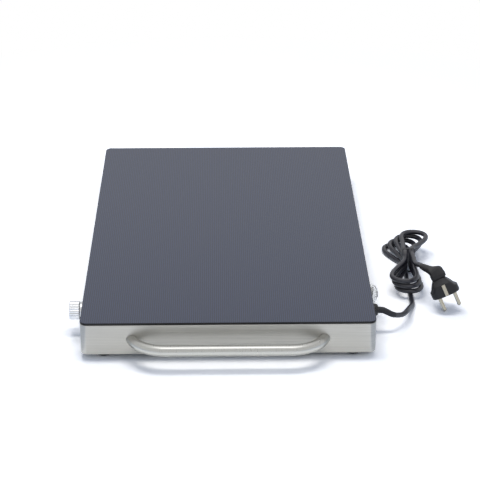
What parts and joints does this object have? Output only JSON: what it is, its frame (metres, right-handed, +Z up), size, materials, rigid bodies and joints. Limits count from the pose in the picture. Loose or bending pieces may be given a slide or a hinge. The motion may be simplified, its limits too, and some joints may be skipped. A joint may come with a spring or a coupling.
{
  "type": "hot plate",
  "caption": "Flat electric hot plate: glass top in a brushed steel frame, tube handles, knob and switch on the sides, low feet, corded plug.",
  "frame": {"origin": "on the table, under the middle of the appliance's bounding box (the cord and what is on it left out)", "axes": "+Z up; the long side along Y with the front handle at -Y and the rear handle at +Y; the knob at -X, the switch and the cord at +X"},
  "size_m": [0.4702, 0.601, 0.0554],
  "materials": {
    "dark_glass": "glossy dark blue-grey tempered glass, printed on its underside",
    "silicone_grey": "matte silicone",
    "brushed_steel": "brushed along the sheet",
    "plain_steel": "plain zinc-coated or stainless sheet and screws",
    "satin_tube": "polished tube",
    "bright_metal": "bright turned metal",
    "bright_sheet": "bright aluminium sheet and leads",
    "nickel": "nickel plated brass",
    "brass": "plain brass",
    "copper": "drawn copper",
    "clear_vinyl": "clear soft vinyl",
    "black_plastic": "moulded satin",
    "gloss_black": "moulded gloss",
    "black_rubber": "moulded matte",
    "cord_vinyl": "smooth vinyl sheath",
    "mat_red": "silicone heating mat",
    "fibre_white": "pressed glass-fibre board",
    "block_white": "moulded",
    "wire_brown": "insulated wire",
    "wire_blue": "insulated wire",
    "wire_green": "insulated wire"
  },
  "bodies": {
    "housing": {"glass_top": "dark_glass", "glass_seal": "silicone_grey", "outer_frame": "brushed_steel", "base_plate": "plain_steel", "base_screw_front_left": "plain_steel", "base_screw_front_right": "plain_steel", "base_screw_rear_left": "plain_steel", "base_screw_rear_right": "plain_steel", "foot_front_left": "black_rubber", "foot_front_right": "black_rubber", "foot_rear_left": "black_rubber", "foot_rear_right": "black_rubber", "foot_screw_front_left": "plain_steel", "foot_screw_front_right": "plain_steel", "foot_screw_rear_left": "plain_steel", "foot_screw_rear_right": "plain_steel", "front_handle": "satin_tube", "rear_handle": "satin_tube", "handle_screw_front_left": "plain_steel", "handle_screw_front_right": "plain_steel", "handle_screw_rear_left": "plain_steel", "handle_screw_rear_right": "plain_steel", "reflector_tray": "bright_sheet", "insulation_board": "fibre_white", "heating_mat": "mat_red", "tray_post_front_left": "plain_steel", "tray_post_front_right": "plain_steel", "tray_post_rear_left": "plain_steel", "tray_post_rear_right": "plain_steel", "thermostat_body": "black_plastic", "thermostat_nut": "brass", "knob_collar": "bright_metal", "sensing_bulb": "copper", "thermal_cutout": "black_plastic", "switch_housing": "black_plastic", "switch_boot": "clear_vinyl", "cord_bushing": "black_plastic", "bushing_nut": "black_plastic", "cord_inner_end": "cord_vinyl", "terminal_block": "block_white", "earth_screw": "brass", "live_wire": "wire_brown", "neutral_wire": "wire_blue", "earth_wire": "wire_green", "heater_lead_live": "bright_sheet", "heater_lead_neutral": "bright_sheet", "strain_relief": "black_rubber", "cord_lead": "cord_vinyl", "cord_hank": "cord_vinyl", "cord_tie": "black_plastic", "cord_tail": "cord_vinyl", "plug_body": "black_rubber", "plug_pin_left": "nickel", "plug_pin_right": "nickel", "plug_earth_clip_front": "nickel", "plug_earth_clip_back": "nickel"},
    "knob": {"control_knob": "bright_metal", "thermostat_shaft": "bright_metal"},
    "rocker": {"switch_rocker": "gloss_black"}
  },
  "joints": [
    {"name": "knob_turn", "type": "hinge", "parent": "housing", "child": "knob", "pos_m": [-0.1669, -0.1978, 0.0284], "axis": [1, 0, 0], "range_deg": [0, 300]},
    {"name": "rocker_tilt", "type": "hinge", "parent": "housing", "child": "rocker", "pos_m": [0.1744, -0.1605, 0.0284], "axis": [0, 0, 1], "range_deg": [0, 18]}
  ]
}
